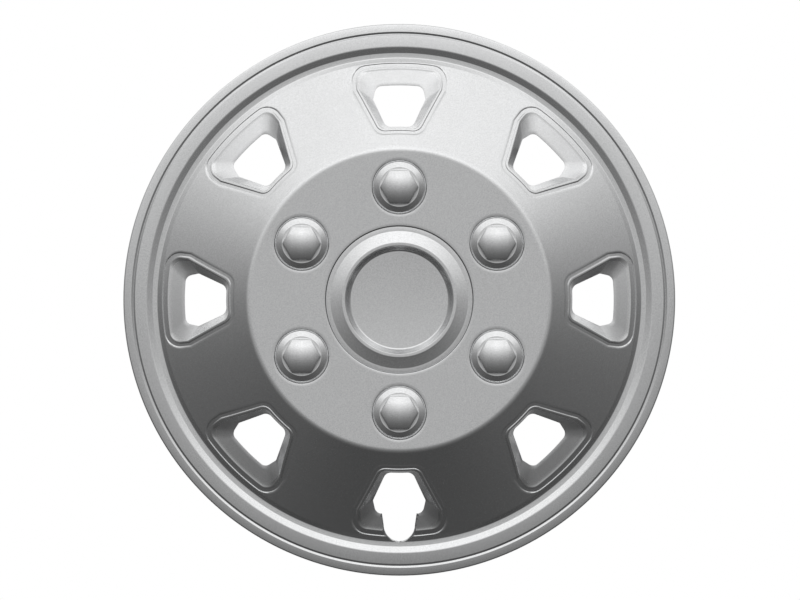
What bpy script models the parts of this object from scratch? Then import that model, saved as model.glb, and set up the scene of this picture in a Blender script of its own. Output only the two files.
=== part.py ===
"""Hard wheel cover for a 16 inch van or motorhome wheel, as the separate pieces it is assembled from.

Every piece is drawn about the wheel's axis: local +Z points out of the wheel and local +Y points up.
The empty wheel_axis turns that axis to world -Y, so the face looks along -Y and +Z is up.
The origin lies on the axis, in the plane where the outer flange rests on the wheel. Units are metres.
"""

import math

import bmesh
import bpy
from mathutils import Matrix, Vector

# Face shell, drawn as radius and height along the axis.
OUTER_RADIUS = 0.215
FACE_SEGMENTS = 60
PLATEAU_HEIGHT = 0.044
PLATEAU_RADIUS = 0.117
PLATEAU_ROUND = 0.002
CONE_SLOPE = math.tan(math.radians(30))
CONE_END_RADIUS = 0.1847
SKIN = 0.0025
CONE_SKIN = SKIN / math.cos(math.radians(30))
FLOOR_HEIGHT = 0.0015
BAND_HEIGHT = 0.0052
FLANGE_HEIGHT = 0.0037
GAP = 0.0003

# Seats for the centre cap and the six nut caps.
CAP_RECESS_RADIUS = 0.0573
CAP_HOLE_RADIUS = 0.0480
SEAT_DEPTH = 0.0035
NUT_COUNT = 6
NUT_PITCH_RADIUS = 0.0874
NUT_RECESS_RADIUS = 0.0212
NUT_HOLE_RADIUS = 0.0150
NUT_SEAT_RADIUS = 0.0236
NUT_FLATS = 0.0260
NUT_DOME_RADIUS = 0.0296
NUT_TOP_HEIGHT = 0.0560
NUT_SEGMENTS = 20
CAP_SEGMENTS = 40
LEG_LENGTH = 0.0085
CAP_LEG_SLOT = 0.006
NUT_LEG_SLOT = 0.005
CAP_DISC_DEPTH = 0.0040

# Windows: corners as half width, distance from the axis, and corner radius.
WINDOW_COUNT = 8
RIM_CORNER = (0.0375, 0.1837, 0.0100)
SIDE_CORNER = (0.0338, 0.1687, 0.0015)
HUB_CORNER = (0.0149, 0.1313, 0.0075)
OPENING_RIM_CORNER = (0.0182, 0.1667, 0.0040)
OPENING_SIDE_CORNER = (0.0204, 0.1571, 0.0012)
OPENING_HUB_CORNER = (0.0102, 0.1343, 0.0045)
OPENING_LAND = 0.0006
OPENING_DEPTH_RIM = 0.0052
OPENING_DEPTH_HUB = 0.0085
WINDOW_WALL = 0.0022
CORNER_STEPS = 2
VALVE_SLOT_END = 0.1877
VALVE_SLOT_HALF_WIDTH = 0.0121
VALVE_SLOT_MOUTH = 0.0137
VALVE_SLOT_START = 0.1570
RIB_THICKNESS = 0.0018
RIB_INNER_RADIUS = 0.120
RIB_OUTER_RADIUS = 0.183

# Retaining clips: sprung fingers in pockets behind the rim band, and the wire ring in their notches.
CLIP_COUNT = 10
CLIP_FIRST_ANGLE = 0.0
CLIP_ROOT_RADIUS = 0.19225
POCKET_MOUTH = -0.010
CLIP_WIDTH = 0.014
CLIP_FOOT = 0.0016
POCKET_SLACK = 0.0006
POCKET_WALL = 0.0026
RING_RADIUS = 0.19155
RING_HEIGHT = -0.0295
RING_WIRE_RADIUS = 0.0016
RING_CRANK = 0.0040
RING_CRANK_HALF_ANGLE = math.radians(11)
RING_POINTS = 96
VALVE_ANGLE = math.radians(270)

COLOURS = {
    "silver": ((0.46, 0.47, 0.48, 1.0), 0.32, 0.85),
    "nylon": ((0.025, 0.025, 0.028, 1.0), 0.55, 0.0),
    "spring_steel": ((0.42, 0.43, 0.45, 1.0), 0.30, 1.0),
}


def clear_scene():
    for obj in list(bpy.data.objects):
        bpy.data.objects.remove(obj, do_unlink=True)


def material(name):
    """A Principled material from the table of finishes, made once."""
    made = bpy.data.materials.get(name)
    if made:
        return made
    colour, roughness, metallic = COLOURS[name]
    made = bpy.data.materials.new(name)
    made.use_nodes = True
    shader = made.node_tree.nodes["Principled BSDF"]
    shader.inputs["Base Color"].default_value = colour
    shader.inputs["Roughness"].default_value = roughness
    shader.inputs["Metallic"].default_value = metallic
    return made


def add_object(name, mesh, finish=None, parent=None, matrix=None):
    """Put a mesh in the scene under its parent. Without a finish it is a helper that never renders."""
    obj = bpy.data.objects.new(name, mesh)
    bpy.context.scene.collection.objects.link(obj)
    obj.parent = parent
    if matrix:
        obj.matrix_local = matrix
    if finish is None:
        obj.hide_render = True
        obj.display_type = "WIRE"
    elif not mesh.materials:
        mesh.materials.append(material(finish))
    return obj


def mesh_of(name, bm, smooth_degrees=35):
    """Close a bmesh into a mesh with outward faces, smooth where its faces nearly agree."""
    bmesh.ops.recalc_face_normals(bm, faces=bm.faces)
    mesh = bpy.data.meshes.new(name)
    bm.to_mesh(mesh)
    bm.free()
    mesh.shade_smooth()
    mesh.set_sharp_from_angle(angle=math.radians(smooth_degrees))
    return mesh


def polar(radius, angle, height):
    return Vector((radius * math.cos(angle), radius * math.sin(angle), height))


def around(count, first=0.0):
    return [first + 2 * math.pi * i / count for i in range(count)]


def turned(bm, profile, segments, centre=Vector((0, 0, 0))):
    """Turn a closed profile of (radius, height) points about an axis parallel to local Z.

    The corners start half a step round, so that none lies on a plane of symmetry.
    """
    angles = around(segments, math.pi / segments)
    rings = []
    for radius, height in profile:
        if radius == 0:
            rings.append([bm.verts.new(centre + Vector((0, 0, height)))] * segments)
        else:
            rings.append([bm.verts.new(centre + polar(radius, angle, height)) for angle in angles])
    for inner, outer in zip(rings, rings[1:] + rings[:1]):
        for i in range(segments):
            j = (i + 1) % segments
            corners = list(dict.fromkeys((inner[i], inner[j], outer[j], outer[i])))
            if len(corners) > 2:
                bm.faces.new(corners)


def lofted(bm, rings):
    """Skin a stack of closed outlines that have the same number of points, and cap both ends."""
    rows = [[bm.verts.new(point) for point in ring] for ring in rings]
    count = len(rows[0])
    for lower, upper in zip(rows, rows[1:]):
        for i in range(count):
            j = (i + 1) % count
            bm.faces.new((lower[i], lower[j], upper[j], upper[i]))
    caps = [bm.faces.new(rows[0]), bm.faces.new(rows[-1])]
    bm.normal_update()
    bmesh.ops.triangulate(bm, faces=caps)


def cone_height(radius):
    return PLATEAU_HEIGHT - (radius - PLATEAU_RADIUS) * CONE_SLOPE


def face_profile():
    """Front surface from the rim inwards to the centre hole, then the back surface out again."""
    seat = PLATEAU_HEIGHT - SEAT_DEPTH
    rounded = PLATEAU_RADIUS + PLATEAU_ROUND
    front = [
        (OUTER_RADIUS, 0.0), (OUTER_RADIUS, 0.0018), (OUTER_RADIUS - 0.0018, 0.0032),
        (0.2096, FLANGE_HEIGHT), (0.2072, 0.0030), (0.2054, BAND_HEIGHT - 0.0009),
        (0.1990, BAND_HEIGHT), (0.1966, BAND_HEIGHT - 0.0005), (0.1951, 0.0036),
        (0.1919, FLOOR_HEIGHT), (0.1892, FLOOR_HEIGHT), (0.1878, FLOOR_HEIGHT + 0.0006),
        (CONE_END_RADIUS, cone_height(CONE_END_RADIUS)),
        (rounded, cone_height(rounded)), (PLATEAU_RADIUS + 0.0003, PLATEAU_HEIGHT - 0.0004),
        (PLATEAU_RADIUS - PLATEAU_ROUND, PLATEAU_HEIGHT),
        (CAP_RECESS_RADIUS + 0.0008, PLATEAU_HEIGHT), (CAP_RECESS_RADIUS, PLATEAU_HEIGHT - 0.0008),
        (CAP_RECESS_RADIUS, seat), (CAP_HOLE_RADIUS, seat),
    ]
    back = [
        (CAP_HOLE_RADIUS, seat - SKIN), (CAP_RECESS_RADIUS + SKIN, seat - SKIN),
        (CAP_RECESS_RADIUS + SKIN + 0.001, PLATEAU_HEIGHT - SKIN),
        (PLATEAU_RADIUS - 0.0007, PLATEAU_HEIGHT - SKIN),
        (0.1834, cone_height(0.1834) - CONE_SKIN), (0.1866, FLOOR_HEIGHT - SKIN),
        (0.1943, FLOOR_HEIGHT - SKIN), (0.1975, BAND_HEIGHT - SKIN),
        (0.2052, BAND_HEIGHT - SKIN - 0.0008), (0.2086, 0.0),
    ]
    return front + back


def rounded_outline(corners):
    """Points round a closed outline, each corner (x, y, radius) replaced by an arc where it has a radius."""
    points = []
    for i, (x, y, radius) in enumerate(corners):
        corner = Vector((x, y))
        if radius == 0:
            points.append(corner)
            continue
        before = (Vector(corners[i - 1][:2]) - corner).normalized()
        after = (Vector(corners[(i + 1) % len(corners)][:2]) - corner).normalized()
        half = before.angle(after) / 2
        start = corner + before * radius / math.tan(half)
        end = corner + after * radius / math.tan(half)
        centre = corner + (before + after).normalized() * radius / math.sin(half)
        sweep = (start - centre).angle_signed(end - centre)
        for step in range(CORNER_STEPS + 1):
            spoke = start - centre
            spoke.rotate(Matrix.Rotation(-sweep * step / CORNER_STEPS, 2))
            points.append(centre + spoke)
    return points


def window_outline(rim, side, hub, grow=0.0):
    """The window outline, symmetric about its radius, moved outwards by grow.

    Its points are half width and distance from the axis, so its rim edge is a concentric arc.
    """
    right = [(hub[0] + grow * 0.8, hub[1] - grow, hub[2] + grow),
             (side[0] + grow, side[1], side[2] + grow),
             (rim[0] + grow, rim[1] + grow * 0.8, rim[2] + grow),
             (rim[0] / 4, rim[1] + grow * 0.8, 0)]
    left = [(-x, y, radius) for x, y, radius in reversed(right)]
    return rounded_outline(right + left)


def on_face(point, angle, below):
    """A window point placed at its angle round the axis, at a depth below the cone's surface."""
    across, radius = point
    along = math.sqrt(radius * radius - across * across)
    return Vector((along * math.cos(angle) + across * math.sin(angle),
                   along * math.sin(angle) - across * math.cos(angle),
                   cone_height(radius) - below))


def opening_depth(point):
    span = OPENING_RIM_CORNER[1] - OPENING_HUB_CORNER[1]
    share = (point.y - OPENING_HUB_CORNER[1]) / span
    return OPENING_DEPTH_HUB + (OPENING_DEPTH_RIM - OPENING_DEPTH_HUB) * share


def window_cup(bm, angle):
    """The moulded return round one window, from just under the skin to the see-through edge."""
    outer = window_outline(RIM_CORNER, SIDE_CORNER, HUB_CORNER, WINDOW_WALL)
    inner = window_outline(OPENING_RIM_CORNER, OPENING_SIDE_CORNER, OPENING_HUB_CORNER, WINDOW_WALL)
    lofted(bm, [
        [on_face(p, angle, 0.0012) for p in outer],
        [on_face(p, angle, 0.0036) for p in outer],
        [on_face(p, angle, opening_depth(p) + OPENING_LAND) for p in inner],
    ])


def window_cut(bm, angle):
    """The hollow of one window: straight through the skin, sloping in, then straight out of the back."""
    outer = window_outline(RIM_CORNER, SIDE_CORNER, HUB_CORNER)
    inner = window_outline(OPENING_RIM_CORNER, OPENING_SIDE_CORNER, OPENING_HUB_CORNER)
    lofted(bm, [
        [on_face(p, angle, -0.006) for p in outer],
        [on_face(p, angle, 0.0010) for p in outer],
        [on_face(p, angle, opening_depth(p)) for p in inner],
        [on_face(p, angle, opening_depth(p) + 0.006) for p in inner],
    ])


def valve_slot(bm):
    """The slot for the tyre valve: tapering from the bottom window to a round end at the rim groove."""
    centre = VALVE_SLOT_END - VALVE_SLOT_HALF_WIDTH
    steps = 8
    arc = [Vector((VALVE_SLOT_HALF_WIDTH * math.cos(math.pi * i / steps),
                   centre + VALVE_SLOT_HALF_WIDTH * math.sin(math.pi * i / steps)))
           for i in range(steps + 1)]
    outline = [Vector((VALVE_SLOT_MOUTH, VALVE_SLOT_START))] + arc
    outline.append(Vector((-VALVE_SLOT_MOUTH, VALVE_SLOT_START)))
    flat = [on_face(p, VALVE_ANGLE, 0.0) for p in outline]
    lofted(bm, [[Vector((p.x, p.y, z)) for p in flat] for z in (-0.020, 0.040)])


def placed_box(bm, radial, across, height, angle):
    """A box given by its ranges along the radius and height and its full width across."""
    turn = Matrix.Rotation(angle, 4, "Z")
    rows = []
    for z in height:
        row = [(radial[0], -across / 2, z), (radial[1], -across / 2, z),
               (radial[1], across / 2, z), (radial[0], across / 2, z)]
        rows.append([turn @ Vector(p) for p in row])
    lofted(bm, rows)


def rib(bm, angle):
    """A stiffening rib under the cone, as a thin plate that tapers towards the rim."""
    turn = Matrix.Rotation(angle, 4, "Z")
    inner = cone_height(RIB_INNER_RADIUS)
    outer = cone_height(RIB_OUTER_RADIUS)
    side = [(RIB_INNER_RADIUS, inner - 0.0010), (RIB_OUTER_RADIUS, outer - 0.0010),
            (RIB_OUTER_RADIUS, outer - 0.0060), (RIB_INNER_RADIUS, inner - 0.0090)]
    lofted(bm, [[turn @ Vector((r, y, z)) for r, z in side]
                for y in (-RIB_THICKNESS / 2, RIB_THICKNESS / 2)])


def face_additions():
    """Everything moulded onto the turned shell: window returns, nut seats, ribs and clip pockets."""
    bm = bmesh.new()
    for angle in around(WINDOW_COUNT):
        window_cup(bm, angle)
        rib(bm, angle + math.pi / WINDOW_COUNT)
    seat_bottom = PLATEAU_HEIGHT - SEAT_DEPTH - SKIN
    for angle in around(NUT_COUNT, math.pi / 2):
        centre = polar(NUT_PITCH_RADIUS, angle, 0)
        disc = [(0, seat_bottom), (NUT_SEAT_RADIUS, seat_bottom),
                (NUT_SEAT_RADIUS, PLATEAU_HEIGHT - 0.0012), (0, PLATEAU_HEIGHT - 0.0012)]
        turned(bm, disc, NUT_SEGMENTS, centre)
    pocket = CLIP_FOOT + POCKET_SLACK + POCKET_WALL
    for angle in around(CLIP_COUNT, CLIP_FIRST_ANGLE):
        radial = (CLIP_ROOT_RADIUS - pocket, CLIP_ROOT_RADIUS + pocket)
        across = CLIP_WIDTH + 2 * (POCKET_SLACK + POCKET_WALL)
        placed_box(bm, radial, across, (POCKET_MOUTH, FLOOR_HEIGHT - 0.0010), angle)
    return mesh_of("face_additions", bm)


def face_cuts():
    """Everything cut from the shell: window hollows, nut recesses with their holes, and pocket slots."""
    bm = bmesh.new()
    for angle in around(WINDOW_COUNT):
        window_cut(bm, angle)
    seat = PLATEAU_HEIGHT - SEAT_DEPTH
    for angle in around(NUT_COUNT, math.pi / 2):
        recess = [(0, seat - 0.0065), (NUT_HOLE_RADIUS, seat - 0.0065), (NUT_HOLE_RADIUS, seat),
                  (NUT_RECESS_RADIUS, seat), (NUT_RECESS_RADIUS, PLATEAU_HEIGHT - 0.0006),
                  (NUT_RECESS_RADIUS + 0.0016, PLATEAU_HEIGHT + 0.001), (0, PLATEAU_HEIGHT + 0.001)]
        turned(bm, recess, NUT_SEGMENTS, polar(NUT_PITCH_RADIUS, angle, 0))
    slot = CLIP_FOOT + POCKET_SLACK
    depths = (POCKET_MOUTH - 0.001, FLOOR_HEIGHT - SKIN - GAP)
    for angle in around(CLIP_COUNT, CLIP_FIRST_ANGLE):
        radial = (CLIP_ROOT_RADIUS - slot, CLIP_ROOT_RADIUS + slot)
        placed_box(bm, radial, CLIP_WIDTH + 2 * POCKET_SLACK, depths, angle)
    return mesh_of("face_cuts", bm)


def boolean(obj, helper, operation):
    modifier = obj.modifiers.new(helper.name, "BOOLEAN")
    modifier.operation = operation
    modifier.object = helper


def trim_face(axis):
    """The moulded face: a turned shell with its additions joined on and its openings cut out."""
    bm = bmesh.new()
    turned(bm, face_profile(), FACE_SEGMENTS)
    face = add_object("trim_face", mesh_of("trim_face", bm), "silver", axis)
    additions = add_object("face_additions", face_additions(), parent=axis)
    cuts = add_object("face_cuts", face_cuts(), parent=axis)
    slot = bmesh.new()
    valve_slot(slot)
    valve_cut = add_object("valve_cut", mesh_of("valve_cut", slot), parent=axis)
    boolean(cuts, valve_cut, "UNION")
    boolean(face, additions, "UNION")
    boolean(face, cuts, "DIFFERENCE")


def leg_slots(name, radius, count, width, heights, parent):
    """Thin boxes across a round skirt, which part it into separate snap legs."""
    bm = bmesh.new()
    for angle in around(count, math.pi / count):
        placed_box(bm, (radius - 0.006, radius + 0.004), width, heights, angle)
    return add_object(name, mesh_of(name, bm), parent=parent)


def centre_cap(axis):
    """The push-in centre cap: flange, sloping ring, recessed blank disc, and legs behind."""
    seat = PLATEAU_HEIGHT - SEAT_DEPTH + GAP
    flange_top = PLATEAU_HEIGHT - 0.0020
    ring_top = PLATEAU_HEIGHT + 0.0008
    disc = PLATEAU_HEIGHT - CAP_DISC_DEPTH
    leg_end = seat - LEG_LENGTH
    leg_outer = CAP_HOLE_RADIUS - GAP
    leg_inner = leg_outer - 0.0022
    edge = CAP_RECESS_RADIUS - GAP
    profile = [
        (edge, seat), (edge, flange_top), (0.0533, flange_top), (0.0450, ring_top - 0.0003),
        (0.0440, ring_top), (0.0424, ring_top), (0.0415, ring_top - 0.0006),
        (0.0385, disc + 0.0004), (0.0375, disc), (0, disc), (0, disc - 0.0020),
        (0.0385, disc - 0.0020), (0.0402, seat), (leg_inner, seat),
        (leg_inner, leg_end + 0.0012), (leg_inner - 0.0014, leg_end + 0.0008),
        (leg_inner - 0.0014, leg_end), (leg_outer - 0.0008, leg_end), (leg_outer, leg_end + 0.0014),
        (leg_outer, seat),
    ]
    bm = bmesh.new()
    turned(bm, profile, CAP_SEGMENTS)
    cap = add_object("centre_cap", mesh_of("centre_cap", bm), "silver", axis)
    slots = leg_slots("cap_leg_slots", leg_outer, 8, CAP_LEG_SLOT, (leg_end - 0.002, seat - 0.0008), axis)
    boolean(cap, slots, "DIFFERENCE")
    wire = 0.0009
    ring_radius = leg_inner - GAP - wire
    ring_height = leg_end + 0.0012 + GAP + wire
    sides = 6
    section = [(ring_radius + wire * math.cos(2 * math.pi * i / sides),
                ring_height + wire * math.sin(2 * math.pi * i / sides)) for i in range(sides)]
    bm = bmesh.new()
    turned(bm, section, CAP_SEGMENTS)
    add_object("centre_cap_spring_ring", mesh_of("centre_cap_spring_ring", bm), "spring_steel", axis)


def hex_prism():
    """A six-sided prism with a flat towards +Y, tall enough to trim the domed nut blank."""
    corner = NUT_FLATS / math.sqrt(3)
    bm = bmesh.new()
    lofted(bm, [[polar(corner, angle, z) for angle in around(6)]
                for z in (PLATEAU_HEIGHT - 0.001, PLATEAU_HEIGHT + 0.030)])
    return mesh_of("hex_prism", bm)


def nut_blank():
    """The round, domed blank of the nut's head, whose corners are as wide as the ledge circle."""
    corner = NUT_FLATS / math.sqrt(3) + 0.0001
    centre = NUT_TOP_HEIGHT - NUT_DOME_RADIUS
    steps = 3
    widest = math.asin(corner / NUT_DOME_RADIUS)
    dome = [(NUT_DOME_RADIUS * math.sin(widest * i / steps),
             centre + NUT_DOME_RADIUS * math.cos(widest * i / steps)) for i in range(steps, -1, -1)]
    low = PLATEAU_HEIGHT + 0.0004
    profile = [(0.0, low), (corner, low)] + dome
    bm = bmesh.new()
    turned(bm, profile, NUT_SEGMENTS)
    return mesh_of("nut_blank", bm)


def nut_base():
    """Flange, sloping skirt and ledge of a nut cap, with the tube of its snap legs, left hollow."""
    seat = PLATEAU_HEIGHT - SEAT_DEPTH + GAP
    ledge = PLATEAU_HEIGHT + 0.0010
    leg_end = seat - LEG_LENGTH
    leg_outer = NUT_HOLE_RADIUS - GAP
    leg_inner = leg_outer - 0.0020
    bore = 0.0095
    edge = NUT_RECESS_RADIUS - GAP
    profile = [
        (edge, seat), (edge, PLATEAU_HEIGHT - 0.0020), (0.0188, PLATEAU_HEIGHT - 0.0019),
        (0.0152, ledge), (0, ledge), (0, ledge - 0.0012), (bore, ledge - 0.0012),
        (leg_inner, seat), (leg_inner, leg_end), (leg_outer - 0.0008, leg_end),
        (leg_outer, leg_end + 0.0014), (leg_outer, seat),
    ]
    bm = bmesh.new()
    turned(bm, profile, NUT_SEGMENTS)
    return mesh_of("nut_base", bm)


def nut_cap_mesh(axis):
    """One nut cap, with its Booleans evaluated so that all six share the mesh."""
    head = add_object("nut_head", nut_blank(), parent=axis)
    prism = add_object("nut_prism", hex_prism(), parent=axis)
    body = add_object("nut_body", nut_base(), parent=axis)
    boolean(head, prism, "INTERSECT")
    boolean(body, head, "UNION")
    seat = PLATEAU_HEIGHT - SEAT_DEPTH
    slots = leg_slots("nut_leg_slots", NUT_HOLE_RADIUS, 3, NUT_LEG_SLOT,
                      (seat - LEG_LENGTH - 0.002, seat - 0.0005), axis)
    boolean(body, slots, "DIFFERENCE")
    graph = bpy.context.evaluated_depsgraph_get()
    mesh = bpy.data.meshes.new_from_object(body.evaluated_get(graph))
    mesh.name = "nut_cap"
    mesh.materials.clear()
    for helper in (head, prism, body, slots):
        bpy.data.objects.remove(helper, do_unlink=True)
    return mesh


def nut_caps(axis):
    """Six push-in nut caps on one pitch circle, all with a flat upwards."""
    mesh = nut_cap_mesh(axis)
    for i, angle in enumerate(around(NUT_COUNT, math.pi / 2)):
        place = Matrix.Translation(polar(NUT_PITCH_RADIUS, angle, 0))
        add_object(f"nut_cap_{i + 1}", mesh, "silver", axis, place)


def clip_mesh():
    """A retaining clip: foot, leaning finger, grip hump outside and wire notch inside.

    The outline runs round the clip's side, as distance outwards and along the axis from the
    pocket's mouth, where the clip bends; it is extruded to the clip's width.
    """
    notch_floor = RING_RADIUS + RING_WIRE_RADIUS + GAP - CLIP_ROOT_RADIUS
    notch_middle = RING_HEIGHT - POCKET_MOUTH
    notch_half = RING_WIRE_RADIUS + GAP
    outline = [
        (-CLIP_FOOT, 0.0040), (CLIP_FOOT, 0.0040), (CLIP_FOOT, 0.0), (0.0023, -0.0080), (0.0036, -0.0155),
        (0.0063, -0.0195), (0.0066, -0.0212), (0.0058, -0.0238), (0.0034, -0.0268), (0.0008, -0.0268),
        (-0.0018, -0.0245), (-0.0018, notch_middle - notch_half),
        (notch_floor, notch_middle - notch_half), (notch_floor, notch_middle + notch_half),
        (-0.0010, notch_middle + notch_half), (-0.0010, -0.0160), (0.0004, -0.0132), (-0.0007, -0.0040),
        (-CLIP_FOOT, 0.0),
    ]
    bm = bmesh.new()
    lofted(bm, [[Vector((x, y, z)) for y, z in outline] for x in (-CLIP_WIDTH / 2, CLIP_WIDTH / 2)])
    return mesh_of("retaining_clip", bm, smooth_degrees=40)


def retaining_clips(axis):
    """Ten clips, each with its origin on its bending line and its local +Y pointing outwards."""
    mesh = clip_mesh()
    for i, angle in enumerate(around(CLIP_COUNT, CLIP_FIRST_ANGLE)):
        turn = Matrix.Rotation(angle - math.pi / 2, 4, "Z")
        place = Matrix.Translation(polar(CLIP_ROOT_RADIUS, angle, POCKET_MOUTH)) @ turn
        add_object(f"retaining_clip_{i + 1:02d}", mesh, "nylon", axis, place)


def ring_point(angle):
    """A point of the wire ring, which is cranked outwards past the valve slot."""
    away = abs(math.remainder(angle - VALVE_ANGLE, 2 * math.pi)) / RING_CRANK_HALF_ANGLE
    crank = RING_CRANK * math.cos(math.pi / 2 * away) ** 2 if away < 1 else 0.0
    return polar(RING_RADIUS + crank, angle, RING_HEIGHT)


def retaining_ring(axis):
    """The spring-wire ring that presses all the clips outwards, as a closed bevelled curve."""
    curve = bpy.data.curves.new("retaining_ring", "CURVE")
    curve.dimensions = "3D"
    curve.bevel_depth = RING_WIRE_RADIUS
    curve.bevel_resolution = 1
    spline = curve.splines.new("POLY")
    points = [ring_point(angle) for angle in around(RING_POINTS)]
    spline.points.add(len(points) - 1)
    for target, point in zip(spline.points, points):
        target.co = (*point, 1.0)
    spline.use_cyclic_u = True
    curve.materials.append(material("spring_steel"))
    obj = bpy.data.objects.new("retaining_ring", curve)
    bpy.context.scene.collection.objects.link(obj)
    obj.parent = axis


def main():
    clear_scene()
    axis = bpy.data.objects.new("wheel_axis", None)
    bpy.context.scene.collection.objects.link(axis)
    axis.rotation_euler = (math.pi / 2, 0, 0)
    trim_face(axis)
    centre_cap(axis)
    nut_caps(axis)
    retaining_clips(axis)
    retaining_ring(axis)


main()
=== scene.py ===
"""Looks of a hard wheel cover: painted face, push-in caps, and the clips and wire rings behind it.

Shapes are worked out in millimetres about the wheel's axis: x to the right and y up in the face's
plane, and a height out of the wheel. placed() turns that to the frame, in metres, where the height
runs along -Y.
"""

import bmesh
import bpy
import numpy as np
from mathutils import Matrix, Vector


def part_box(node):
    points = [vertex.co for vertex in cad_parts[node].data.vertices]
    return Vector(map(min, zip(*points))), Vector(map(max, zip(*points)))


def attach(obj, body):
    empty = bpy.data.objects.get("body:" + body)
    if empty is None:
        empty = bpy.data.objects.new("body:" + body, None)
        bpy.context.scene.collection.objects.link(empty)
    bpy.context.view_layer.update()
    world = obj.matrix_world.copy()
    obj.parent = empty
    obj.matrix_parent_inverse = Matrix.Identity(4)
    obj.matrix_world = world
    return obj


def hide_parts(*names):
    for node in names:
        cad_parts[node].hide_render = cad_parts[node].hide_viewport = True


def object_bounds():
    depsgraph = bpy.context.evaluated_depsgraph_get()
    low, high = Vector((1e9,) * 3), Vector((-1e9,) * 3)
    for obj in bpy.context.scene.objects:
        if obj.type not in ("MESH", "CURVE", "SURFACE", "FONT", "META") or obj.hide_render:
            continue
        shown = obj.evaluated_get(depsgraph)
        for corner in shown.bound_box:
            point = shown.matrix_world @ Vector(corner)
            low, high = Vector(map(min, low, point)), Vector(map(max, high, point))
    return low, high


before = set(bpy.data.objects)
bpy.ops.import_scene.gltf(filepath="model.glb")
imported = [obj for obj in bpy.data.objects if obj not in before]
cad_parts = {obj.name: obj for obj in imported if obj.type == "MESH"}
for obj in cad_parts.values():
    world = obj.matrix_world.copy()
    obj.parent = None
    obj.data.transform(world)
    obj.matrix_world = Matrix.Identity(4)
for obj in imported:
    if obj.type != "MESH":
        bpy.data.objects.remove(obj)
cad_low, cad_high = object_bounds()

MM = 0.001

# Measures taken over from the frame.
OUTER_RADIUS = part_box("trim_face")[1].x / MM
NUT_COUNT = 6
NUT_PITCH = (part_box("nut_cap_1")[0].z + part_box("nut_cap_1")[1].z) / 2 / MM
NUT_ANGLES = [np.pi / 2 + i * 2 * np.pi / NUT_COUNT for i in range(NUT_COUNT)]
CLIP_COUNT = 10
CLIP_ANGLES = [i * 2 * np.pi / CLIP_COUNT for i in range(CLIP_COUNT)]

# The turned face: corners as radius, height and fillet radius, from the hub's edge out to the rim.
PLATEAU = 44.0
CONE_START = 117.3
CONE_SLOPE = np.tan(np.radians(30))
SKIN = 2.5
HUB_EDGE_ROWS = [(114.0, PLATEAU, 0), (CONE_START, PLATEAU, 8.0), (119.9, None, 0)]
STEP_ROWS = [(184.45, None, 0), (184.95, None, 0.4), (188.2, 2.5, 1.3), (190.0, 2.5, 0)]
RIM_ROWS = [
    (190.0, 2.5, 0), (192.0, 2.5, 0.8), (196.7, 4.4, 3.0), (205.6, 3.45, 0.4), (207.0, 2.3, 0.25),
    (208.5, 3.15, 0.3), (OUTER_RADIUS, 2.25, 1.3), (OUTER_RADIUS, 0.0, 0.3), (208.6, 0.0, 0.3),
    (205.2, 1.2, 0.6), (197.5, 2.0, 1.5), (193.6, -1.0, 1.0), (190.0, -1.0, 0),
]


def cone(radius):
    """Height of the cone's front, in millimetres, at a radius in millimetres."""
    return PLATEAU - (radius - CONE_START) * CONE_SLOPE


CONE_SKIN = SKIN / np.cos(np.radians(30))


# ---------------------------------------------------------------- shapes as whole arrays


def placed(x, y, height):
    """Points of the face's own plane and height, in millimetres, put into the frame in metres."""
    return np.stack(np.broadcast_arrays(x, -np.asarray(height), y), axis=-1) * MM


def filleted(corners, steps=5, closed=False):
    """A polyline of (x, y, radius) corners with an arc of its radius in place of each corner.

    The arc starts and ends at radius / tan(half the corner's angle) from the corner, and its middle
    lies on the bisector at radius / sin(half the angle).
    """
    points = []
    count = len(corners)
    for i, (x, y, radius) in enumerate(corners):
        corner = np.array((x, y), float)
        if radius == 0 or (not closed and i in (0, count - 1)):
            points.append(corner)
            continue
        before = np.array(corners[i - 1][:2], float) - corner
        after = np.array(corners[(i + 1) % count][:2], float) - corner
        before /= np.linalg.norm(before)
        after /= np.linalg.norm(after)
        half = np.arccos(np.clip(before @ after, -1, 1)) / 2
        centre = corner + (before + after) / np.linalg.norm(before + after) * radius / np.sin(half)
        start = corner + before * radius / np.tan(half) - centre
        end = corner + after * radius / np.tan(half) - centre
        share = np.linspace(0, 1, steps + 1)[:, None]
        sweep = np.arccos(np.clip(start @ end / radius**2, -1, 1))
        arc = (np.sin((1 - share) * sweep) * start + np.sin(share * sweep) * end) / np.sin(sweep)
        points.extend(centre + arc)
    return np.array(points)


def profile(rows, steps=5):
    """A turned profile from (radius, height, fillet) rows, where a height of None is the cone's."""
    return filleted([(r, cone(r) if h is None else h, f) for r, h, f in rows], steps)


def turned(points, angles):
    """A profile of (radius, height) rows carried round the axis: x = r cos a, y = r sin a."""
    radius, height = points[:, :1], points[:, 1:]
    return placed(radius * np.cos(angles), radius * np.sin(angles), height + 0 * angles)


def grid_quads(rows, columns):
    """Indices of the four corners of each cell of a grid of points."""
    index = np.arange(rows * columns).reshape(rows, columns)
    corners = [index[:-1, :-1], index[:-1, 1:], index[1:, 1:], index[1:, :-1]]
    return np.stack(corners, -1).reshape(-1, 4)


WELD = 2e-6
SHARP = np.radians(40)


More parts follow.
